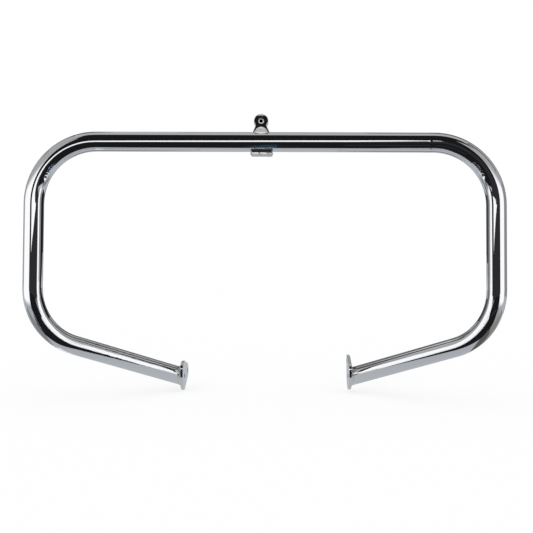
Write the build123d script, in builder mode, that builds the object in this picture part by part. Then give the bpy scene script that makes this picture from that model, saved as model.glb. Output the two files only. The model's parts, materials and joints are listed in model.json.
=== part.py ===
"""Front crash bars of a motorcycle: one bent steel tube in a wide upright hoop, whose lower legs sweep
back and inward to two bolt flanges. A lug over the middle of the hoop and a pad under it meet the frame.

Millimetres. -Y is the front, +Z is up, and +X is the rider's left. The origin is on the axis of the
lug's threaded hole, in the plane of the hoop."""

import os

from build123d import *

# The tube, and the corners of its axis before bending, counted from the hoop's middle
tube_radius = 31.75 / 2
tube_wall = 3.0
bend_radius = 101.6
hoop_shift = 5.6
top_corner_x = 372.5
low_corner_x = 375.5
hoop_height = 310.5
leg_end_x = 153.5
leg_end_y = 152.5
leg_end_drop = 401.0
vent_radius = 2.5
vent_from_end = 55.0

# The lug over the tube's crest, which spreads to its foot and has a blind threaded hole
eye_height = 17.125
eye_radius = 11.6
neck_width = 17.5
neck_drop = 7.0
neck_blend = 4.0
foot_width = 26.0
lug_depth = 12.0
lug_edge = 1.2
eye_thread_radius = 2.5
eye_thread_depth = 9.0
eye_countersink = 1.9
lug_bead_length = 34.5
lug_bead_radius = 11.5
lug_bead_sink = 4.775

# The pad under the tube, which a rib holds clear of it
pad_shift = 1.2
pad_front_width = 37.3
pad_rear_width = 33.4
pad_length = 30.2
pad_thickness = 3.0
pad_corner = 3.0
pad_edge = 0.6
rib_length = 31.8
rib_width = 8.0
rib_height = 2.7
pad_bead_width = 2.0

# The bolt flanges on the ends of the legs, whose brow is the corner at the top of the front edge.
# An ear stands up on the left one and points back on the right one
flange_shift = 2.4
flange_rise = 1.9
flange_thickness = 5.0
flange_edge = 0.6
left_flange_radius = 25.0
right_flange_radius = 26.5
brow_radius = 15.0
left_ear_back = 20.0
left_ear_rise = 25.2
left_ear_width = 19.0
right_ear_back = 44.0
right_ear_rise = 3.0
right_ear_radius = 13.5
ear_hole_radius = 4.5
thread_radius = 4.25
boss_radius = 9.0
boss_height = 8.0
boss_shift = 3.0
left_weld_leg = 3.0
right_weld_leg = 4.5
weld_land = 0.4
weld_hollow_rise = 0.3
weld_hollow_reach = 0.45

# Places that follow from the sizes above
crest_z = -eye_height
hoop_z = crest_z - tube_radius
pad_top_z = hoop_z - tube_radius - rib_height
flange_z = hoop_z - leg_end_drop
low_corner = Vector(low_corner_x, 0, hoop_z - hoop_height)
leg_end = Vector(leg_end_x, leg_end_y, flange_z)
LEFT, RIGHT = 1, -1
SIDES = {LEFT: "left", RIGHT: "right"}
flange_radius = {LEFT: left_flange_radius, RIGHT: right_flange_radius}
weld_leg = {LEFT: left_weld_leg, RIGHT: right_weld_leg}
ear_place = {LEFT: (left_ear_back, left_ear_rise), RIGHT: (-right_ear_back, right_ear_rise)}


def save(piece, name):
    """Labels a finished piece and writes it under its own name."""
    piece.part.label = name
    export_step(piece.part, f"parts/{name}.step")


def on_side(point, side):
    """A point of the left half, or its mirror image in the hoop's middle plane for the right half."""
    return Vector(hoop_shift + side * point.X, point.Y, point.Z)


def leg_foot(side):
    """Where the axis of a leg meets the outer face of its flange."""
    share = side * flange_shift / (low_corner_x - leg_end_x)
    return on_side(leg_end + (low_corner - leg_end) * share, side)


def leg_direction(side):
    """Unit vector up a lower leg, from its flange towards the hoop."""
    return (on_side(low_corner, side) - leg_foot(side)).normalized()


def flange_plane(side):
    """Outer face of a flange: x is the way the leg leans, z is away from the middle."""
    outward = Vector(side, 0, 0)
    lean = leg_direction(side) - outward * leg_direction(side).dot(outward)
    return Plane(leg_foot(side), x_dir=lean, z_dir=outward)


os.makedirs("parts", exist_ok=True)

# The tube is drawn past its flanges, then cut off flat along their outer faces
overrun = 30.0
end_cut = 80.0
half_path = [
    leg_end + (leg_end - low_corner).normalized() * overrun,
    low_corner,
    Vector(top_corner_x, 0, hoop_z),
]
tube_path = [on_side(point, LEFT) for point in half_path]
tube_path += [on_side(point, RIGHT) for point in reversed(half_path)]

with BuildPart() as guard_tube:
    with BuildLine() as tube_axis:
        FilletPolyline(*tube_path, radius=bend_radius)
    with BuildSketch(tube_axis.line ^ 0):
        Circle(tube_radius)
        Circle(tube_radius - tube_wall, mode=Mode.SUBTRACT)
    sweep()
    with Locations((hoop_shift + flange_shift, leg_end_y, flange_z)):
        Box(2 * leg_end_x, end_cut, end_cut, mode=Mode.SUBTRACT)
    # A vent under each lower leg lets the plating bath drain out
    for side in SIDES:
        along = leg_direction(side)
        below = Vector(0, 0, -1) + along * along.Z
        vent_place = leg_foot(side) + along * vent_from_end
        with BuildSketch(Plane(vent_place, x_dir=along, z_dir=below)):
            Circle(vent_radius)
        extrude(amount=2 * tube_radius, mode=Mode.SUBTRACT)
save(guard_tube, "guard_tube")

# A short solid stretch of the tube's outside, which the lug and its weld are shaped to
with BuildPart() as tube_outside:
    with BuildSketch(Plane.YZ):
        with Locations((0, hoop_z)):
            Circle(tube_radius)
    extrude(amount=lug_bead_length, both=True)

with BuildPart() as eye_lug:
    with BuildSketch(Plane.XZ) as lug_outline:
        Circle(eye_radius)
        Polygon(
            (-foot_width / 2, hoop_z),
            (foot_width / 2, hoop_z),
            (foot_width / 2, crest_z),
            (neck_width / 2, -neck_drop),
            (-neck_width / 2, -neck_drop),
            (-foot_width / 2, crest_z),
            align=None,
        )
        fillet(lug_outline.vertices().group_by(Axis.Y)[-1], radius=neck_blend)
    extrude(amount=lug_depth / 2, both=True)
    fillet(eye_lug.faces().filter_by(Axis.Y).edges(), radius=lug_edge)
    add(tube_outside.part, mode=Mode.SUBTRACT)
    with Locations(Plane.XZ.offset(lug_depth / 2)):
        CounterSinkHole(
            radius=eye_thread_radius,
            counter_sink_radius=eye_thread_radius + eye_countersink,
            depth=eye_thread_depth,
            counter_sink_angle=90,
        )
save(eye_lug, "eye_lug")

# The lug's weld swells out all round its foot, like a ball that is drawn out along the tube
bead_middle = Vector(0, 0, crest_z - lug_bead_sink)
with BuildPart() as eye_lug_weld:
    with BuildSketch(Plane(bead_middle, x_dir=(1, 0, 0), z_dir=(0, -1, 0))):
        Ellipse(lug_bead_length / 2, lug_bead_radius)
        Rectangle(
            lug_bead_length,
            lug_bead_radius,
            align=(Align.CENTER, Align.MAX),
            mode=Mode.SUBTRACT,
        )
    revolve(axis=Axis(bead_middle, (1, 0, 0)))
    add(tube_outside.part, mode=Mode.SUBTRACT)
    add(eye_lug.part, mode=Mode.SUBTRACT)
save(eye_lug_weld, "eye_lug_weld")

pad_section = Plane.YZ.offset(pad_shift)
with BuildPart() as lower_pad:
    with BuildSketch(Plane.XY.offset(pad_top_z)) as pad_outline:
        with Locations((pad_shift, 0)):
            Polygon(
                (-pad_front_width / 2, -pad_length / 2),
                (pad_front_width / 2, -pad_length / 2),
                (pad_rear_width / 2, pad_length / 2),
                (-pad_rear_width / 2, pad_length / 2),
                align=None,
            )
        fillet(pad_outline.vertices(), radius=pad_corner)
    extrude(amount=-pad_thickness)
    chamfer(lower_pad.faces().filter_by(Axis.Z).edges(), length=pad_edge)
    with BuildSketch(pad_section):
        with Locations((0, pad_top_z)):
            Rectangle(rib_width, tube_radius, align=(Align.CENTER, Align.MIN))
        with Locations((0, hoop_z)):
            Circle(tube_radius, mode=Mode.SUBTRACT)
    extrude(amount=rib_length / 2, both=True)
save(lower_pad, "lower_pad")

# Each bead fills the corner between the pad, its rib and the tube
for name, facing in (("front", -1), ("rear", 1)):
    with BuildPart() as pad_weld:
        with BuildSketch(pad_section):
            with Locations((facing * (rib_width + pad_bead_width) / 2, pad_top_z)):
                Rectangle(pad_bead_width, tube_radius, align=(Align.CENTER, Align.MIN))
            with Locations((0, hoop_z)):
                Circle(tube_radius, mode=Mode.SUBTRACT)
        extrude(amount=rib_length / 2, both=True)
    save(pad_weld, f"lower_pad_weld_{name}")

for side, side_name in SIDES.items():
    face = flange_plane(side)
    up_leg = leg_direction(side)
    disc_middle = face.origin + Vector(0, 0, flange_rise)
    upright_face = Plane(disc_middle, x_dir=(0, side, 0), z_dir=face.z_dir)
    boss_place = (boss_shift, 0)
    brow = flange_radius[side] - brow_radius

    with BuildPart() as flange:
        with BuildSketch(upright_face):
            Circle(flange_radius[side])
            with Locations((-side * brow, brow)):
                Circle(brow_radius)
            with Locations(ear_place[side]):
                if side == LEFT:
                    Rectangle(left_ear_width, left_ear_width)
                else:
                    Circle(right_ear_radius)
            make_hull()
        extrude(amount=-flange_thickness)
        chamfer(flange.faces().filter_by(Axis.X).edges(), length=flange_edge)
        with BuildSketch(upright_face):
            with Locations(ear_place[side]):
                Circle(ear_hole_radius)
        extrude(amount=-flange_thickness, mode=Mode.SUBTRACT)
        with BuildSketch(face):
            with Locations(boss_place):
                Circle(thread_radius)
        extrude(amount=-flange_thickness, mode=Mode.SUBTRACT)
    save(flange, f"{side_name}_flange")

    with BuildPart() as boss:
        with BuildSketch(face):
            with Locations(boss_place):
                Circle(boss_radius)
                Circle(thread_radius, mode=Mode.SUBTRACT)
        extrude(amount=boss_height)
    save(boss, f"{side_name}_flange_boss")

    # The bead is a hollow cone with concave sides, around the slanted end of the leg
    stretch = 1 / abs(up_leg.X)
    with BuildPart() as flange_weld:
        for rise, reach in ((0, 1), (weld_hollow_rise, weld_hollow_reach), (1, 0)):
            height = rise * weld_leg[side]
            margin = weld_land + reach * (weld_leg[side] - weld_land)
            centre = face.origin + up_leg * height * stretch
            with BuildSketch(Plane(centre, x_dir=face.x_dir, z_dir=face.z_dir)):
                Ellipse(tube_radius * stretch + margin, tube_radius + margin)
        loft()
        with BuildSketch(Plane(face.origin, x_dir=(0, 0, 1), z_dir=up_leg)):
            Circle(tube_radius)
        extrude(amount=end_cut, both=True, mode=Mode.SUBTRACT)
    save(flange_weld, f"{side_name}_flange_weld")
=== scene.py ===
# %% [markdown]
# # Chromed crash bars of a motorcycle
#
# This lesson dresses one object: a wide hoop of bent steel tube that is bolted to the front of a motorcycle, so that
# the engine doesn't meet the road first. Everything on it is welded together, and nothing moves. The solids come
# from a CAD model and are already the right size, so the work here is to look at them as a photographer does:
# bright plating has hardly any colour of its own, and shows the room around it.

# %% Load the solids
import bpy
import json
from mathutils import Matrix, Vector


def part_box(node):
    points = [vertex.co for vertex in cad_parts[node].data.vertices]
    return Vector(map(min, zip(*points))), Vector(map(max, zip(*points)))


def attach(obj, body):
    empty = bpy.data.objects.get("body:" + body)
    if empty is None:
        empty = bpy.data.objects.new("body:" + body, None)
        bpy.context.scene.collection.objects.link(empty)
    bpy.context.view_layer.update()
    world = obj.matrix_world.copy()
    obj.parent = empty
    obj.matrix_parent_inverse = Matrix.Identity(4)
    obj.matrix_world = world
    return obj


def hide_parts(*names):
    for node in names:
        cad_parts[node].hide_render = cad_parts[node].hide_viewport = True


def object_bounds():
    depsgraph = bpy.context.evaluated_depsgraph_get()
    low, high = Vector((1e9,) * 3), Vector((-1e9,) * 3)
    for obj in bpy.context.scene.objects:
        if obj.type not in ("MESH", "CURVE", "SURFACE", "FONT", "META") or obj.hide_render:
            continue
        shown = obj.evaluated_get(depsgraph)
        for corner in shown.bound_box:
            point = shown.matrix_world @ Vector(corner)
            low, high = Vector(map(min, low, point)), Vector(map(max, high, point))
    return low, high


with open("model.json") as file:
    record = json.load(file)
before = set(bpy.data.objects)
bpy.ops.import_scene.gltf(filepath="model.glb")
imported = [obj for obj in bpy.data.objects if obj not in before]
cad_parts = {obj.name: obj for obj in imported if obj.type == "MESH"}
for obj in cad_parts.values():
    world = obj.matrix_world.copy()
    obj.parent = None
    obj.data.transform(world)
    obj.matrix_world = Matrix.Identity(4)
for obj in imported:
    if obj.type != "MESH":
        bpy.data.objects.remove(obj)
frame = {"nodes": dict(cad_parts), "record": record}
cad_low, cad_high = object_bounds()
nodes = frame["nodes"]
MM = 0.001
print("pieces:", ", ".join(sorted(nodes)))
print("size in mm:", [round((high - low) / MM) for low, high in zip(cad_low, cad_high)])

# %% [markdown]
# ## The camera
#
# The bars were photographed from straight in front, from a little over a metre away. The lens is level, and it is as
# high as the middle of the hoop, so the top tube is seen from below and the lower legs from above. A camera looks
# along its own -Z with +Y up, so its matrix is built from the three directions that its axes point in.

# %% Place the camera
import math

import bpy
from mathutils import Matrix, Vector

scene = bpy.context.scene
IMAGE_SIDE = 533
FOCAL_PIXELS = 741
SENSOR_WIDTH = 36
CAMERA_PLACE = Vector((0.0257, -1.1965, -0.2339))
YAW = math.radians(-0.76)
ROLL = math.radians(0.30)

ahead = Vector((math.sin(YAW), math.cos(YAW), 0))
sideways = Vector((math.cos(YAW), -math.sin(YAW), 0))
upright = Vector((0, 0, 1))
across = sideways * math.cos(ROLL) + upright * math.sin(ROLL)
up = upright * math.cos(ROLL) - sideways * math.sin(ROLL)

camera_data = bpy.data.cameras.new("camera")
camera_data.sensor_width = SENSOR_WIDTH
camera_data.lens = FOCAL_PIXELS / IMAGE_SIDE * SENSOR_WIDTH
camera = bpy.data.objects.new("camera", camera_data)
turn = Matrix((across, up, -ahead)).transposed().to_4x4()
camera.matrix_world = Matrix.Translation(CAMERA_PLACE) @ turn
scene.collection.objects.link(camera)
scene.camera = camera
scene.view_settings.view_transform = "Standard"
print(f"lens {camera_data.lens:.1f} mm, {-CAMERA_PLACE.y:.2f} m in front of the bars")

# %% [markdown]
# ## Nodes as sums
#
# A finish is a graph of nodes. Written link by link it is long, so one small class holds a node's output and lets
# Python's own signs add the Math nodes: `1 - mask` makes a Subtract node. Its `node` method makes any other kind.

# %% A socket that can be reckoned with
class Socket:
    """The output of a node in a tree, or the bare tree to start from."""

    def __init__(self, tree, output=None):
        self.tree = tree
        self.output = output

    def node(self, kind, settings, inputs, output=0):
        """Adds a node of this kind, with its settings and then the values or links of its inputs."""
        made = self.tree.nodes.new(kind)
        for name, value in settings.items():
            if name == "stops":
                ramp = made.color_ramp.elements
                while len(ramp) < len(value):
                    ramp.new(1)
                for element, (place, colour) in zip(ramp, value):
                    element.position = place
                    element.color = (*colour, 1)
            else:
                setattr(made, name, value)
        for name, value in inputs.items():
            if isinstance(value, Socket):
                self.tree.links.new(value.output, made.inputs[name])
            else:
                made.inputs[name].default_value = value
        return Socket(self.tree, made.outputs[output] if made.outputs else None)

    def math(self, operation, first, second=0.0):
        return self.node("ShaderNodeMath", {"operation": operation}, {0: first, 1: second})

    def __add__(self, other):
        return self.math("ADD", self, other)

    def __sub__(self, other):
        return self.math("SUBTRACT", self, other)

    def __rsub__(self, other):
        return self.math("SUBTRACT", other, self)

    def __mul__(self, other):
        return self.math("MULTIPLY", self, other)

    __radd__ = __add__
    __rmul__ = __mul__


print("a socket can be added, subtracted and multiplied")

# %% [markdown]
# ## Words for finishes
#
# Every finish here is told in the same few words: where a place lies, how cloudy it is there, which colour lies
# between two others, how the surface is dented, and in the end one metal. Each word is a function. The Mix node has
# sockets of one name for numbers and for colours, so the colour ones are found by their numbers.

# %% Helpers for finishes
COLOUR_A, COLOUR_B, COLOUR_OUT = 6, 7, 2


def between(share, first, second):
    """A colour between two others, each of which is three numbers or a socket."""
    first, second = (end if isinstance(end, Socket) else (*end, 1) for end in (first, second))
    return share.node("ShaderNodeMix", {"data_type": "RGBA"}, {
        0: share, COLOUR_A: first, COLOUR_B: second}, COLOUR_OUT)


def clouds(place, scale, detail=2.0):
    """Soft noise from 0 to 1, with about this many patches to a metre."""
    return place.node("ShaderNodeTexNoise", {}, {"Vector": place, "Scale": scale, "Detail": detail}, "Fac")


def along(place, axis):
    """How far a place lies along one axis."""
    return place.node("ShaderNodeSeparateXYZ", {}, {0: place}, axis)


def climb(value, low, high, top=1.0):
    """Goes from 0 to the top while a value goes from low to high."""
    return value.node("ShaderNodeMapRange", {}, {"Value": value, "From Min": low, "From Max": high, "To Max": top})


def by_height(place, colours):
    """A colour that changes with the height, from a table of heights and colours."""
    low, high = min(colours), max(colours)
    stops = [((height - low) / (high - low), colour) for height, colour in sorted(colours.items())]
    return place.node("ShaderNodeValToRGB", {"stops": stops}, {0: climb(along(place, "Z"), low, high)})


def bumps(height, strength, depth, **normal):
    """The way a dented surface faces, with dents that are this deep in metres."""
    return height.node("ShaderNodeBump", {}, {"Strength": strength, "Distance": depth, "Height": height, **normal})


def finish_of(name):
    """A new material, its empty tree, and the place on the piece that its patterns hang on."""
    material = bpy.data.materials.new(name)
    material.use_nodes = True
    material.node_tree.nodes.clear()
    tree = Socket(material.node_tree)
    return material, tree, tree.node("ShaderNodeTexCoord", {}, {}, "Object")


def metal(tree, colour, roughness, surface, metallic=1.0):
    """Ends a tree with a metal of this colour, roughness and surface."""
    shine = tree.node("ShaderNodeBsdfPrincipled", {}, {
        "Base Color": colour, "Metallic": metallic, "Roughness": roughness, "Normal": surface})
    tree.node("ShaderNodeOutputMaterial", {}, {"Surface": shine})
    print("a finish of", len(tree.tree.nodes), "nodes")


print("ready to write finishes")

# %% [markdown]
# ## Bright chrome on the bent tube
#
# The tube is polished before it is plated, so its chrome is almost a perfect mirror: a metal of very low roughness.
# Small things show that it is real. The polish leaves the tube a little wavy, wiping leaves cloudy streaks, and the
# bender's jaw leaves a faint ring where a bend begins. Painting these by hand would need a map of the tube, so noise
# makes the waves and the clouds, and the distance from the place where the bend begins makes the ring.

# %% Chrome for the tube
CHROME = (0.81, 0.82, 0.83)
WIPED_CHROME = (0.78, 0.79, 0.81)
SMEARS_PER_METRE = 18.0
WAVES_PER_METRE = 14.0
HOOP_SHIFT = 0.0056
BEND_START = 0.264
RING_WIDTH = 0.004
TOP_TUBE_FLOOR = -0.06

tube_chrome, tree, place = finish_of("tube_chrome")
smears = clouds(place, SMEARS_PER_METRE, 5.0)
waves = clouds(place, WAVES_PER_METRE, 1.0)
from_bend = tree.math("ABSOLUTE", along(place, "X") - (HOOP_SHIFT + BEND_START))
ring = tree.math("MAXIMUM", 1 - from_bend * (1 / RING_WIDTH), 0.0)
ring = ring * tree.math("GREATER_THAN", along(place, "Z"), TOP_TUBE_FLOOR)
surface = bumps(0.5 * waves + 1.5 * ring, 0.1, MM)
metal(tree, between(smears, CHROME, WIPED_CHROME), 0.015 + 0.03 * smears, surface)

# %% [markdown]
# ## Chrome on the cut plates
#
# The flanges, the pad and the lug are cut from plate, ground, and plated with the tube. Grinding is coarser than
# polishing, so their mirror is wavier, and their edges are never quite sharp. The Bevel node rounds the normals there
# without any new faces, and where those differ from the plain ones, the plating has been rubbed dull. Three finishes
# share this start. The pad's is rougher and brighter, as its front is left as it was sawn.

# %% Chrome for the flanges and the pad
GROUND_CHROME = (0.76, 0.77, 0.79)
SAWN_LIGHT = (0.92, 0.92, 0.92)
SAWN_DARK = (0.80, 0.81, 0.83)
SAWN_PATCHES = 90.0
SAWN_METALLIC = 0.85


def ground_plate(name, edge, marks, depth):
    """Begins a finish with this many grinding marks to a metre, this deep, and edges worn to this radius."""
    finish, tree, place = finish_of(name)
    grinding = clouds(place, marks, 3.0)
    rounded = tree.node("ShaderNodeBevel", {"samples": 4}, {"Radius": edge})
    plain = tree.node("ShaderNodeNewGeometry", {}, {}, "Normal")
    facing = tree.node("ShaderNodeVectorMath", {"operation": "DOT_PRODUCT"}, {0: rounded, 1: plain}, "Value")
    worn = tree.math("MINIMUM", (1 - facing) * 6.0, 1.0)
    roughness = 0.03 + 0.05 * grinding + 0.10 * worn
    return finish, tree, place, grinding, roughness, bumps(grinding, depth, 0.5 * MM, Normal=rounded)


plate_chrome, tree, _, grinding, roughness, surface = ground_plate(
    "plate_chrome", edge=0.25 * MM, marks=160.0, depth=0.12)
metal(tree, between(grinding, CHROME, GROUND_CHROME), roughness, surface)

pad_chrome, tree, place, _, roughness, surface = ground_plate("pad_chrome", edge=0.6 * MM, marks=170.0, depth=1.0)
metal(tree, between(clouds(place, SAWN_PATCHES), SAWN_LIGHT, SAWN_DARK), roughness, surface, SAWN_METALLIC)

# %% [markdown]
# ## The lug's tapped eye
#
# The lug's hole is tapped after plating. Round it lies a ring of bare cut steel, painted lighter below than above as
# painted light and shade, since its slope faces the light below and lies in its own shade above. The hole itself is
# painted near black: painted shade deep inside it. The lug's round top is rubbed dull. All of this hangs on two
# distances, from the hole's axis and in height, so it needs no new faces. The axis runs along Y through the origin, so
# the distance from it leaves out Y.

# %% Chrome for the lug
EYE_BORE = 0.0027
EYE_RING = 0.0044
LUG_CHROME = (0.80, 0.81, 0.82)
LIT_CUT_STEEL = (1.0, 1.0, 0.99)
SHADED_STEEL = (0.30, 0.30, 0.30)
HOLE_SHADE = (0.03, 0.03, 0.03)
SHADE_FROM, SHADE_TO = -1 * MM, 3 * MM
RUBBED_FROM, RUBBED_TO = 7.5 * MM, 11.2 * MM

lug_chrome, tree, place, _, roughness, surface = ground_plate("lug_chrome", edge=1.4 * MM, marks=160.0, depth=0.12)
flat = tree.node("ShaderNodeVectorMath", {"operation": "MULTIPLY"}, {0: place, 1: (1, 0, 1)})
from_axis = tree.node("ShaderNodeVectorMath", {"operation": "LENGTH"}, {0: flat}, "Value")
height = along(place, "Z")
# Painted shade: the hole's bore is painted near black, as deep inside it lies in shade.
painted_hole_shade = tree.math("LESS_THAN", from_axis, EYE_BORE)
cut = tree.math("LESS_THAN", from_axis, EYE_RING) - painted_hole_shade
# Painted light and shade: the cut ring is painted lighter low down and darker high up.
lit_and_shaded_ring = between(climb(height, SHADE_FROM, SHADE_TO), LIT_CUT_STEEL, SHADED_STEEL)
tint = between(painted_hole_shade, between(cut, LUG_CHROME, lit_and_shaded_ring), HOLE_SHADE)
rubbed = climb(height, RUBBED_FROM, RUBBED_TO, 0.8)
metal(tree, tint, roughness + 0.30 * cut + 0.3 * rubbed, surface, 1 - 0.7 * cut - rubbed)

# %% [markdown]
# ## Plating over the welds
#
# Nobody polishes a weld, so the plating over it has a fine orange peel. The beads at the flanges are small and stay
# bright. The swelling at the lug's foot is dull plating whose colour hangs on the height as a painted reflection:
# creamy where it meets the tube, grey in its middle and white at its crest. In the narrow groove over the pad the
# plating is painted near black, as painted shade in the deep corner.

# %% Chrome for the welds
PEEL_PER_METRE = 900.0
WELD_PATCHES = 220.0
# Painted reflection: creamy low, grey in the middle and white at the crest, by height.
PAINTED_WELD_REFLECTION = {-23.5 * MM: (0.93, 0.92, 0.80), -20.08 * MM: (0.95, 0.94, 0.86), -16.66 * MM: (0.50, 0.50, 0.50),
        -11.872 * MM: (0.62, 0.62, 0.63), -9.478 * MM: (1.0, 1.0, 1.0)}


def peeled(place):
    """Noise like orange peel, and the surface that it dents."""
    peel = clouds(place, PEEL_PER_METRE, 3.0)
    return peel, bumps(peel, 0.3, 0.3 * MM)


def weld_finish(name, light, dark, roughness, metallic):
    """Plating that changes between two colours."""
    finish, tree, place = finish_of(name)
    patches = clouds(place, WELD_PATCHES, 4.0)
    _, surface = peeled(place)
    metal(tree, between(patches, light, dark), roughness + 0.08 * patches, surface, metallic)
    return finish


lug_weld_plating, tree, place = finish_of("lug_weld_plating")
peel, surface = peeled(place)
metal(tree, by_height(place, PAINTED_WELD_REFLECTION), 0.25 + 0.1 * peel, surface, 0.1)
weld_chrome = weld_finish("weld_chrome", (0.84, 0.84, 0.83), (0.74, 0.74, 0.72), roughness=0.06, metallic=1.0)
# Painted shade: the groove welds are painted near black where the deep corner lies in shade.
groove_painted_shade = weld_finish("groove_painted_shade", (0.10, 0.10, 0.11), (0.03, 0.03, 0.03), roughness=0.45, metallic=0.9)

# %% [markdown]
# ## Turned and tapped steel
#
# The bosses behind the flanges were turned on a lathe, which leaves fine rings round their axis. Their threads, and
# the one in the lug, were cut after plating and are painted almost black: dark oil, and painted shade deep inside the
# holes. A Wave texture in rings needs its middle on the boss, and a pattern on Object coordinates starts at the
# origin, so a Mapping node moves it for each boss.

# %% Steel for the bosses and the threads
GROOVES = 260.0
STAINS_PER_METRE = 150.0
OIL_PER_METRE = 700.0


def turned_steel(name, middle):
    """Lathe rings round an axis along X through this middle."""
    finish, tree, place = finish_of(name)
    moved = tree.node("ShaderNodeMapping", {}, {"Vector": place, "Location": -middle})
    rings = tree.node("ShaderNodeTexWave", {"wave_type": "RINGS", "rings_direction": "X"}, {
        "Vector": moved, "Scale": GROOVES, "Distortion": 0.4}, "Fac")
    stains = clouds(place, STAINS_PER_METRE, 4.0)
    tint = between(stains, (0.46, 0.46, 0.47), (0.33, 0.32, 0.31))
    metal(tree, tint, 0.25 + 0.15 * rings, bumps(rings, 0.2, 0.2 * MM))
    return finish


# Dark oil and painted shade: the threads are painted almost black, as they lie deep in their holes.
oil_and_shade_thread, tree, place = finish_of("oil_and_shade_thread")
oil = clouds(place, OIL_PER_METRE, 3.0)
tint = between(oil, (0.045, 0.042, 0.040), (0.015, 0.014, 0.013))
metal(tree, tint, 0.35 + 0.2 * oil, bumps(oil, 0.2, 0.2 * MM))

# %% [markdown]
# ## Each solid gets its finish
#
# A solid that already has the right shape stays as it is, and only the material in its slot changes. The record that
# comes with the solids says where the bolts go in, so the bosses' rings find their middles there.

# %% Dress the solids
mounts = {mount["name"]: mount for mount in frame["record"]["mounts"]}
SIDES = {"left": 1, "right": -1}
finishes = {
    "guard_tube": tube_chrome, "eye_lug": lug_chrome, "lower_pad": pad_chrome,
    "left_flange": plate_chrome, "right_flange": plate_chrome,
    "lower_pad_weld_front": groove_painted_shade, "lower_pad_weld_rear": groove_painted_shade}
for name in SIDES:
    middle = Vector(mounts[f"{name}_bolt"]["pos_m"])
    finishes[f"{name}_flange_boss"] = turned_steel(f"{name}_boss_steel", middle)
for name, finish in finishes.items():
    nodes[name].material_slots[0].material = finish
print("dressed:", ", ".join(finishes))

# %% [markdown]
# ## The weld round the lug's foot
#
# A welder lays a bead in small steps, and each step sets as a ripple. The solid has a smooth swelling there, so a
# new piece takes its place: a ball that is drawn out along the tube and cut off inside it, whose skin sinks a
# little between one step and the next. Moving the vertices makes ripples that also show in the mesh itself.

# %% Helpers for new pieces
import bmesh

STEP_VERTICES = 6


def ripple(place):
    """From 0 between two steps of the welder to 1 on the back of a step, at a place counted in steps."""
    return 1 - (2 * (place % 1) - 1) ** 2


def keep(shape, name, finish, replaced=None):
    """Makes a finished shape a piece that rides on the bars."""
    bmesh.ops.recalc_face_normals(shape, faces=shape.faces)
    for face in shape.faces:
        face.smooth = True
    mesh = bpy.data.meshes.new(name)
    shape.to_mesh(mesh)
    shape.free()
    mesh.materials.append(finish)
    piece = bpy.data.objects.new(name, mesh)
    scene.collection.objects.link(piece)
    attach(piece, "root")
    if replaced:
        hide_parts(replaced)
    print(f"{name}: {len(mesh.polygons)} faces")


print("each step of the welder gets", STEP_VERTICES, "vertices")

# %% A rippled swelling
HALF_LENGTH = 14.4 * MM
HALF_DEPTH = 10.2 * MM
HALF_HEIGHT = 15.5 * MM
BALL_MIDDLE = Vector((0, 0, -21.9 * MM))
BALL_CUT = Vector((0, 0, -23.5 * MM))
BALL_RINGS = 24
LUG_STEPS = 30
LUG_DIP = 0.03
LUG_TWIST = 0.03

ball = bmesh.new()
bmesh.ops.create_uvsphere(ball, u_segments=LUG_STEPS * STEP_VERTICES, v_segments=BALL_RINGS, radius=1)
for vert in ball.verts:
    steps = LUG_STEPS * (math.atan2(vert.co.y, vert.co.x) / math.tau + LUG_TWIST * vert.co.z)
    vert.co *= 1 - LUG_DIP * (1 - ripple(steps))
bmesh.ops.scale(ball, vec=(HALF_LENGTH, HALF_DEPTH, HALF_HEIGHT), verts=ball.verts)
bmesh.ops.translate(ball, vec=BALL_MIDDLE, verts=ball.verts)
opened = bmesh.ops.bisect_plane(
    ball, geom=[*ball.verts, *ball.edges, *ball.faces], plane_co=BALL_CUT, plane_no=(0, 0, -1), clear_outer=True)
rim = [edge for edge in opened["geom_cut"] if isinstance(edge, bmesh.types.BMEdge)]
bmesh.ops.contextual_create(ball, geom=rim)
keep(ball, "eye_lug_bead", lug_weld_plating, "eye_lug_weld")

# %% [markdown]
# ## The welds round the legs' ends
#
# Each leg meets its flange at a slant, so the bead there runs round an oval. It is a ring of ovals, each a circle that
# is stretched along the way the leg leans, and bridged to the next. The outer ones follow the hollow slope of the
# bead from the flange up to the tube, and the inner two close the ring inside the tube's wall.

# %% Rippled rings
TUBE_RADIUS = 15.875 * MM
LOW_CORNER = Vector((375.5, 0, -343.5)) * MM
LEG_END = Vector((153.5, 152.5, -434.0)) * MM
FLANGE_SHIFT = 2.4 * MM
WELD_LEG = {"left": 3.0 * MM, "right": 4.5 * MM}
WELD_LAND = 0.4 * MM
INSIDE_WALL = -1.0 * MM
RING_STEPS = 50
RING_DIP = 0.12
SLOPE = [(0, 1), (0.12, 0.74), (0.3, 0.47), (0.6, 0.2), (1, 0)]


def oval(shape, middle, lean, aside, long_half, short_half, dip):
    """A stretched circle, which sinks by the dip between the welder's steps, as the edges of a new loop."""
    made = bmesh.ops.create_circle(shape, segments=RING_STEPS * STEP_VERTICES, radius=1)["verts"]
    for vert in made:
        sink = dip * (1 - ripple(RING_STEPS * math.atan2(vert.co.y, vert.co.x) / math.tau))
        vert.co = middle + lean * vert.co.x * (long_half - sink) + aside * vert.co.y * (short_half - sink)
    return list({edge for vert in made for edge in vert.link_edges})


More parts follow.
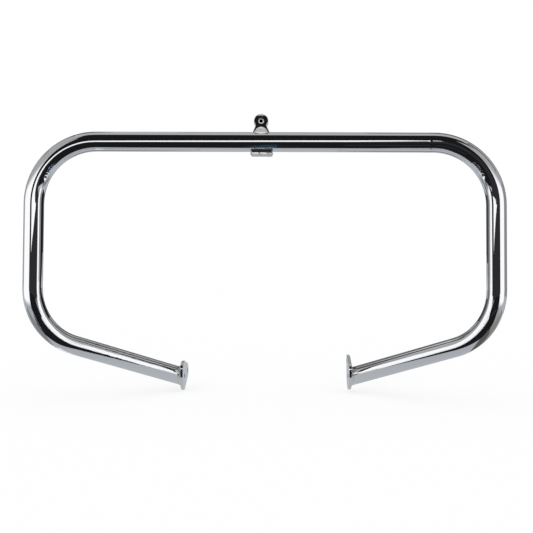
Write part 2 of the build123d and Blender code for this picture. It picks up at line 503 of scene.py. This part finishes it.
for name, side in SIDES.items():
    share = side * FLANGE_SHIFT / (LOW_CORNER.x - LEG_END.x)
    foot = LEG_END.lerp(LOW_CORNER, share)
    foot.x = HOOP_SHIFT + side * foot.x
    corner = Vector((HOOP_SHIFT + side * LOW_CORNER.x, LOW_CORNER.y, LOW_CORNER.z))
    up_leg = (corner - foot).normalized()
    lean = Vector((0, up_leg.y, up_leg.z)).normalized()
    aside = lean.cross((side, 0, 0))
    stretch = 1 / abs(up_leg.x)
    leg = WELD_LEG[name]
    bead = bmesh.new()
    loops = []
    for rise, reach in [*SLOPE, (1, None), (0, None)]:
        margin = INSIDE_WALL if reach is None else WELD_LAND + reach * (leg - WELD_LAND)
        dip = 0 if reach in (None, 0) else RING_DIP * reach * leg
        middle = foot + up_leg * rise * leg * stretch
        loops.append(oval(bead, middle, lean, aside, TUBE_RADIUS * stretch + margin, TUBE_RADIUS + margin, dip))
    for first, second in zip(loops, loops[1:] + loops[:1]):
        bmesh.ops.bridge_loops(bead, edges=first + second)
    keep(bead, f"{name}_flange_bead", weld_chrome, f"{name}_flange_weld")

# %% [markdown]
# ## Threads
#
# The solids have plain holes where bolts screw in. A thread is a ridge of triangular section that climbs by one
# pitch in each turn, so three points are spun round the hole's axis with a small lift at each step. Both ends are
# closed, and the whole ridge is turned from the upright way it was made into the way that its hole points. The lug's
# hole is blind, and a low cone closes it, as a drill leaves one.

# %% Wind the threads
TURN_STEPS = 32
RIDGE = 0.35


def thread(name, mouth, inward, core, pitch, length, bottom=False):
    """A ridge that winds inwards from a hole's mouth, on a hole of this core radius."""
    shape = bmesh.new()
    turns = length / pitch - 1
    profile = [(core, 0, 0), (core - RIDGE * pitch, 0, pitch / 2), (core, 0, pitch)]
    made = bmesh.ops.contextual_create(shape, geom=[shape.verts.new(point) for point in profile])
    start = [*made["faces"], *shape.edges, *shape.verts]
    steps = round(turns * TURN_STEPS)
    bmesh.ops.spin(shape, geom=start, cent=(0, 0, 0), axis=(0, 0, 1), dvec=(0, 0, pitch / TURN_STEPS),
                   angle=math.tau * turns, steps=steps, use_merge=False, use_duplicate=False)
    if bottom:
        drilled = bmesh.ops.create_cone(
            shape, cap_ends=True, segments=TURN_STEPS, radius1=core, radius2=core / 2, depth=pitch / 3)
        bmesh.ops.translate(shape, vec=(0, 0, length - pitch / 2), verts=drilled["verts"])
    bmesh.ops.rotate(shape, cent=(0, 0, 0), verts=shape.verts,
                     matrix=Vector((0, 0, 1)).rotation_difference(inward).to_matrix())
    bmesh.ops.translate(shape, vec=mouth, verts=shape.verts)
    keep(shape, name, oil_and_shade_thread)


EYE_COUNTERSINK = 1.9 * MM
EYE_PITCH = 1.0 * MM
BOLT_PITCH = 1.5 * MM
eye = mounts["top_eye"]["dims"]
eye_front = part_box("eye_lug")[0].y
thread("eye_thread", Vector((0, eye_front + EYE_COUNTERSINK, 0)), Vector((0, 1, 0)),
       eye["r_mm"] * MM, EYE_PITCH, eye["length_mm"] * MM, bottom=True)
for name, side in SIDES.items():
    bolt = mounts[f"{name}_bolt"]
    seat_x = mounts[f"{name}_seat"]["pos_m"][0]
    mouth = Vector((seat_x, *bolt["pos_m"][1:]))
    thread(f"{name}_bolt_thread", mouth, Vector((side, 0, 0)),
           bolt["dims"]["r_mm"] * MM, BOLT_PITCH, bolt["dims"]["length_mm"] * MM)

# %% [markdown]
# ## The room
#
# Everything that is seen on the bars is the room. The camera sees a white wall and a white floor that keeps a soft
# shadow, while the metal sees the same room as it is by day: grey, with a bluish floor. A Light Path node tells
# the two apart, so the white costs no extra light on the object.

# %% World
ROOM_GREY = (0.40, 0.40, 0.41)
WHITE = (1, 1, 1)

world = bpy.data.worlds.new("room")
scene.world = world
world.use_nodes = True
world.node_tree.nodes.clear()
tree = Socket(world.node_tree)
to_camera = tree.node("ShaderNodeLightPath", {}, {}, "Is Camera Ray")
glow = tree.node("ShaderNodeBackground", {}, {"Color": between(to_camera, ROOM_GREY, WHITE)})
tree.node("ShaderNodeOutputWorld", {}, {"Surface": glow})
print("world:", len(world.node_tree.nodes), "nodes")

# %% [markdown]
# ## The floor
#
# The floor has three faces. To the camera most of its white is its own glow and only a part is lit, so that the
# shadow under the bars stays faint. To the metal it glows in the blue grey of a floor by day, a little paler behind
# the bars. For all other light it is plain matt paint.

# %% Flat pieces of the room
FLOOR_GAP = 0.0005
floor_z = cad_low.z - FLOOR_GAP
print(f"floor at {floor_z:.3f} m")


def flat_shape(name, corners, material):
    """A flat piece of the room through these corners."""
    shape = bmesh.new()
    bmesh.ops.contextual_create(shape, geom=[shape.verts.new(corner) for corner in corners])
    mesh = bpy.data.meshes.new(name)
    shape.to_mesh(mesh)
    shape.free()
    mesh.materials.append(material)
    piece = bpy.data.objects.new(name, mesh)
    scene.collection.objects.link(piece)
    return piece


def level(height, *places):
    """Corners of a level piece at this height."""
    return [(x, y, height) for x, y in places]


def oblong(low_x, high_x, front, back):
    """The four corners of an oblong on the floor plan."""
    return (low_x, back), (low_x, front), (high_x, front), (high_x, back)


# %% Floor
FLOOR_REACH = 8.0
FLOOR_GLOW = 0.76
MATT_PAINT = (0.8, 0.8, 0.8, 1)
LIT_PART = (0.28, 0.28, 0.28, 1)
BLUE_GREY = (0.46, 0.475, 0.52)
PALER_GREY = (0.52, 0.54, 0.565)
PALER_FROM, PALER_TO = -0.05, 0.12

floor_paint, tree, place = finish_of("floor_paint")
to_camera = tree.node("ShaderNodeLightPath", {}, {}, "Is Camera Ray")
to_metal = tree.node("ShaderNodeLightPath", {}, {}, "Is Glossy Ray")
behind = climb(along(place, "Y"), PALER_FROM, PALER_TO)
matt = tree.node("ShaderNodeBsdfDiffuse", {}, {"Color": MATT_PAINT})
lit = tree.node("ShaderNodeBsdfDiffuse", {}, {"Color": LIT_PART})
white = tree.node("ShaderNodeEmission", {}, {"Color": (*WHITE, 1), "Strength": FLOOR_GLOW})
pale = tree.node("ShaderNodeAddShader", {}, {0: lit, 1: white})
mirrored = tree.node("ShaderNodeEmission", {}, {"Color": between(behind, BLUE_GREY, PALER_GREY)})
seen = tree.node("ShaderNodeMixShader", {}, {0: to_camera, 1: matt, 2: pale})
paint = tree.node("ShaderNodeMixShader", {}, {0: to_metal, 1: seen, 2: mirrored})
tree.node("ShaderNodeOutputMaterial", {}, {"Surface": paint})
flat_shape("floor", level(floor_z, *oblong(-FLOOR_REACH, FLOOR_REACH, -FLOOR_REACH, FLOOR_REACH)), floor_paint)
print("floor_paint:", len(floor_paint.node_tree.nodes), "nodes")

# %% [markdown]
# ## Cards that the metal reflects
#
# A photographer puts cards round chrome: white ones draw the bright lines along it, and dark ones draw the black
# bands that give it its roundness. A round tube shows almost the whole room squeezed into its width, so a card's edge
# may be placed by working back from a line on the tube to where it comes from. The cards only show in the metal.

# %% A card
CARD_LIGHT = 1.2
cards = []


def card(name, glow, corners):
    """A glowing card of one colour, or of several in a table of heights and colours."""
    paint, tree, place = finish_of(name)
    colour = by_height(place, glow) if isinstance(glow, dict) else (*glow, 1)
    light = tree.node("ShaderNodeEmission", {}, {"Color": colour, "Strength": CARD_LIGHT})
    tree.node("ShaderNodeOutputMaterial", {}, {"Surface": light})
    piece = flat_shape(name, corners, paint)
    piece.visible_camera = piece.visible_diffuse = piece.visible_shadow = False
    cards.append(piece)


def floor_card(name, glow, *places):
    """A card that lies on the floor."""
    card(name, glow, level(floor_z + MM, *places))


def wall(start, end, low, high):
    """Corners of an upright piece between two places on the floor plan."""
    return [(*start, low), (*end, low), (*end, high), (*start, high)]


GREY = (0.38, 0.38, 0.39)
PALE_FLOOR = (0.37, 0.385, 0.44)
NEAR_BLACK = (0.026, 0.024, 0.026)
BLACK = (0.010, 0.010, 0.011)
print("cards may lie on the floor, stand upright or hang level")

# %% [markdown]
# ## White cards in front and beside
#
# The thin bright line along the top tube and round the bends comes from one long strip in front of the bars, which
# climbs from left to right as the line does. The wide bright bands on the upright tubes are two tall panels, one on
# each side, which fade into the grey of the room at their tops and into the floor at their feet.

# %% Strip and panels
STRIP_Y = -0.757
STRIP = [(-0.456, -0.205), (-0.32, -0.172), (-0.16, -0.146), (0.05, -0.105), (0.22, -0.08), (0.35, 0.0),
         (0.455, 0.08), (0.455, 0.12), (0.35, 0.165), (0.217, 0.128), (0.057, 0.098), (-0.154, 0.05),
         (-0.322, 0.015), (-0.456, -0.03)]
PANEL_TOP = 0.42
panel_glow = {floor_z: PALE_FLOOR, floor_z + 0.06: WHITE, 0.0: WHITE, 0.10: GREY}

card("front_strip", WHITE, [(x, STRIP_Y, z) for x, z in STRIP])
card("left_panel", panel_glow, wall((-0.545, -0.390), (-1.1, 0.12), floor_z, PANEL_TOP))
card("right_panel", panel_glow, wall((0.572, -0.420), (0.9, -0.121), floor_z, PANEL_TOP))
print(len(cards), "cards so far")

# %% [markdown]
# ## Dark cloth in front
#
# The black bands above and below the bright line are dark cloth: a wall of it behind the camera, a low one at the
# left, a ceiling over the camera, and a piece on the floor whose rear edge draws the lower end of the black band.

# %% Cloth
FRONT = -1.6
CEILING = 1.6
CEILING_BACK = -0.347
card("front_wall", {floor_z: NEAR_BLACK, 0.02: NEAR_BLACK, 0.2: BLACK, CEILING: BLACK},
     wall((-1.45, FRONT), (3.0, FRONT), floor_z, CEILING))
card("low_wall", NEAR_BLACK, wall((-0.55, -0.40), (-1.45, FRONT), floor_z, 0.06))
card("ceiling", BLACK, level(CEILING, (-1.45, FRONT), (3.0, FRONT), (1.3, CEILING_BACK), (-0.9, CEILING_BACK)))
floor_card("dark_floor", BLACK, (-0.41, -0.10), (-0.30, -0.075), (0.0, -0.062), (0.24, -0.065), (0.30, -0.105),
           (0.44, -0.11), (0.475, -0.16), (0.51, -0.28), (0.58, -0.42), (0.9, FRONT), (-0.9, FRONT), (-0.57, -0.37),
           (-0.45, -0.25))
print(len(cards), "cards so far")

# %% [markdown]
# ## Ceiling with beams
#
# The tops of the legs mirror the ceiling. It is a grey one, crossed by dark beams, which draw the fine stripes along
# the legs. A beam hangs a little lower than the ceiling, so that the two don't lie in one plane. Each row of the
# table holds a name, how bright it is, its two sides, its front and its back.

# %% Ceiling
BEAM_DROP = 0.01
OVERHEAD = [("overhead", 0.42, -2.2, 2.2, CEILING_BACK, 0.9), ("left_beam", 0.03, 1.5, 3.6, -0.28, 0.25),
            ("left_far_beam", 0.10, 0.4, 2.2, 0.85, 1.4), ("right_beam", 0.05, -2.6, -1.2, 0.62, 1.0),
            ("right_far_beam", 0.04, -2.2, -0.4, 2.05, 2.65), ("right_gap", 0.55, -2.2, -0.4, 1.05, 1.8),
            ("left_rear_beam", 0.12, 0.3, 2.2, 2.7, 3.6)]
for name, brightness, *sides in OVERHEAD:
    height = CEILING if name == "overhead" else CEILING - BEAM_DROP
    card(name, (brightness, brightness, brightness), level(height, *oblong(*sides)))
print(len(cards), "cards so far")

# %% [markdown]
# ## Cards behind the bars
#
# The rim of a round tube mirrors what is behind it, so a white room behind would leave the chrome without an edge.
# Dark cards behind the bars give the bends and the upper sides of the legs their dark outlines.

# %% Rear cards
card("rear_left_near", (0.14, 0.14, 0.145), wall((-0.70, 0.33), (-0.50, 0.66), floor_z, 0.05))
card("rear_left_far", (0.046, 0.046, 0.050), wall((-0.50, 0.66), (-0.13, 1.2), -0.23, 0.05))
card("rear_right", BLACK, [(0.70, 0.33, -0.40), (0.30, 1.0, -0.20), (0.30, 1.0, 0.05), (0.70, 0.33, 0.05)])
card("rear_wall", (0.085, 0.085, 0.09), wall((-0.9, 1.25), (0.9, 1.25), -0.20, 0.02))
card("right_rear", (0.25, 0.25, 0.255), wall((0.95, -0.12), (1.05, 1.2), -0.35, 0.10))
for side in (-1, 1):
    floor_card(f"rear_shade_{side}", (0.14, 0.145, 0.155),
               (side * 0.15, 0.45), (side * 0.6, 0.22), (side * 0.75, 0.32), (side * 0.3, 0.75))
    card(f"post_{side}", (0.067, 0.067, 0.07), wall((side * 0.64, 0.43), (side * 0.48, 0.70), 0.05, 0.9))
card("rear_beam", (0.10, 0.10, 0.105), wall((-0.6, 2.0), (0.6, 2.0), 0.5, 1.0))
print(len(cards), "cards so far")

# %% [markdown]
# ## Colour on the floor
#
# The lower bends look down at the floor beside the bars, and in them the chrome has a trace of colour: brown and
# olive in the rider's left bend, grey in the other, with one bright spot. A card on the floor stands for each, where
# the way back from the bend leads to.

# %% Floor colours
floor_card("brown_core", (0.10, 0.095, 0.085),
           (0.368, -0.07), (0.44, -0.12), (0.47, -0.02), (0.45, 0.14), (0.40, 0.12))
floor_card("brown_floor", (0.23, 0.22, 0.20),
           (0.44, -0.12), (0.80, -0.10), (0.80, 0.13), (0.45, 0.15), (0.45, 0.12), (0.47, -0.02))
floor_card("olive_floor", (0.29, 0.30, 0.28),
           (0.44, -0.11), (0.475, -0.16), (0.51, -0.28), (0.58, -0.42), (0.64, -0.36), (0.60, -0.11))
floor_card("grey_floor", (0.22, 0.225, 0.235),
           (-0.395, -0.05), (-0.44, -0.11), (-0.80, -0.08), (-0.80, 0.12), (-0.43, 0.13), (-0.405, 0.08))
floor_card("bright_floor", (0.80, 0.82, 0.84),
           (-0.40, 0.10), (-0.365, 0.04), (-0.35, 0.12), (-0.36, 0.17), (-0.42, 0.17))
print(len(cards), "cards so far")

# %% [markdown]
# ## A white divider between the legs
#
# The two legs have a bright band along their fronts. It comes from an upright white card that stands between them, in
# the middle of the picture. Behind it stands a narrow black one, which draws the fine dark line along the band.

# %% Divider
DIVIDER = [(0.0, floor_z), (0.0, -0.27), (-0.25, -0.30), (-0.35, -0.37), (-0.48, -0.44), (-0.48, floor_z)]
DIVIDER_REAR = [(0.0, floor_z), (0.05, floor_z), (0.055, -0.40), (0.045, -0.35), (0.0, -0.29)]
DIVIDER_EDGE = [(0.064, -0.392), (0.080, -0.388), (0.098, -0.345), (0.106, -0.308),
                (0.108, -0.25), (0.100, -0.25), (0.086, -0.313), (0.068, -0.35)]
rear_glow = {floor_z: (0.5, 0.51, 0.52), floor_z + 0.055: WHITE, -0.29: WHITE}
for name, glow, line in (("divider", WHITE, DIVIDER), ("divider_rear", rear_glow, DIVIDER_REAR),
                         ("divider_edge", BLACK, DIVIDER_EDGE)):
    card(name, glow, [(CAMERA_PLACE.x, y, z) for y, z in line])
print(len(cards), "cards so far")

# %% [markdown]
# ## Slats that hide the divider from above
#
# The upper bends look down on the divider, and there it would leave a white patch. Slats across it, like those of a
# blind, prevent this: from above only their tops are seen, while from the side the legs still see the divider
# between them. They are white underneath. Their tops are navy on one side, black on the other, and pale at the back,
# where the floor is pale too.

# %% Slats
NAVY = (0.012, 0.035, 0.065)
SLATS = 6
SLAT_REACH = 0.036
SLAT_TOP, SLAT_PITCH = -0.30, 0.03
SLAT_FRONT, SLAT_GROWTH = -0.25, 0.046
TOP_SLAT_TURN, SLAT_TURN = -0.043, -0.12
LOW_SLAT_BACK = 0.04
left, middle, right = (CAMERA_PLACE.x + side * SLAT_REACH for side in (-1, 0, 1))
for number in range(SLATS):
    height = SLAT_TOP - SLAT_PITCH * number
    front = SLAT_FRONT - SLAT_GROWTH * number
    back = 0.0 if number < 2 else LOW_SLAT_BACK
    turn_y = SLAT_TURN if number else TOP_SLAT_TURN
    for name, glow, drop, *sides in (
            ("under", WHITE, MM, left, right, front, back), ("navy", NAVY, 0, left, middle, front, turn_y),
            ("black", BLACK, 0, middle, right, front, turn_y), ("pale", PALE_FLOOR, 0, left, right, turn_y, back)):
        card(f"slat_{name}_{number}", glow, level(height - drop, *oblong(*sides)))
print(len(cards), "cards so far")

# %% [markdown]
# ## Lips and glints
#
# The dark cloth on the floor is turned up along its rear edge, as cloth is, and its low black lip keeps the black
# band wide in the bends. Two faint patches on the cloth keep the band from being dead black: a grey glint and a blue
# one. A lip's row holds a place on the floor plan and the lip's height there.

# %% Lips and glints
LIPS = {
    "left_lip": [(-0.43, -0.15, 0.07), (-0.42, -0.08, 0.07), (-0.40, -0.05, 0.07), (-0.33, -0.03, 0.07),
                 (-0.25, -0.035, 0.06), (-0.13, -0.01, 0.035), (-0.04, 0.0, 0)],
    "right_lip": [(0.43, -0.15, 0.07), (0.41, -0.10, 0.07), (0.365, -0.07, 0.07), (0.25, -0.06, 0.06),
                  (0.14, -0.02, 0.035), (0.06, 0.0, 0)]}
for name, line in LIPS.items():
    for number, ((ax, ay, a), (bx, by, b)) in enumerate(zip(line, line[1:])):
        card(f"{name}_{number}", BLACK, [
            (ax, ay, floor_z), (bx, by, floor_z), (bx, by, floor_z + b), (ax, ay, floor_z + a)])

glint_z = floor_z + 2 * MM
card("floor_glint", (0.04, 0.042, 0.05), level(glint_z, *oblong(0.19, 0.40, -0.50, -0.44)))
card("blue_glint", NAVY, level(glint_z, (-0.05, -0.25), (0.0, -0.42), (0.05, -0.28), (0.0, -0.16)))
print(len(cards), "cards in all")

# %% [markdown]
# ## Light
#
# One very wide soft lamp shines from above and from the front, like the open side of a studio tent, and gives the
# floor its faint shadow. A wide lamp is itself a bright patch in a mirror, so it is hidden from the metal, which
# already has its cards.

# %% Lamp
LAMP_LIGHT = 1.7
LAMP_WIDTH = math.radians(120)
LAMP_TILT = math.radians(35)

lamp_data = bpy.data.lights.new("lamp", "SUN")
lamp_data.energy = LAMP_LIGHT
lamp_data.angle = LAMP_WIDTH
lamp = bpy.data.objects.new("lamp", lamp_data)
lamp.location = (0, -1.2, 2.0)
lamp.rotation_euler.x = LAMP_TILT
lamp.visible_glossy = False
scene.collection.objects.link(lamp)
print("lamp:", LAMP_LIGHT)

# %% [markdown]
# ## Finish
#
# The pieces made here must not make the object larger than its solids.

# %% Finish
import json
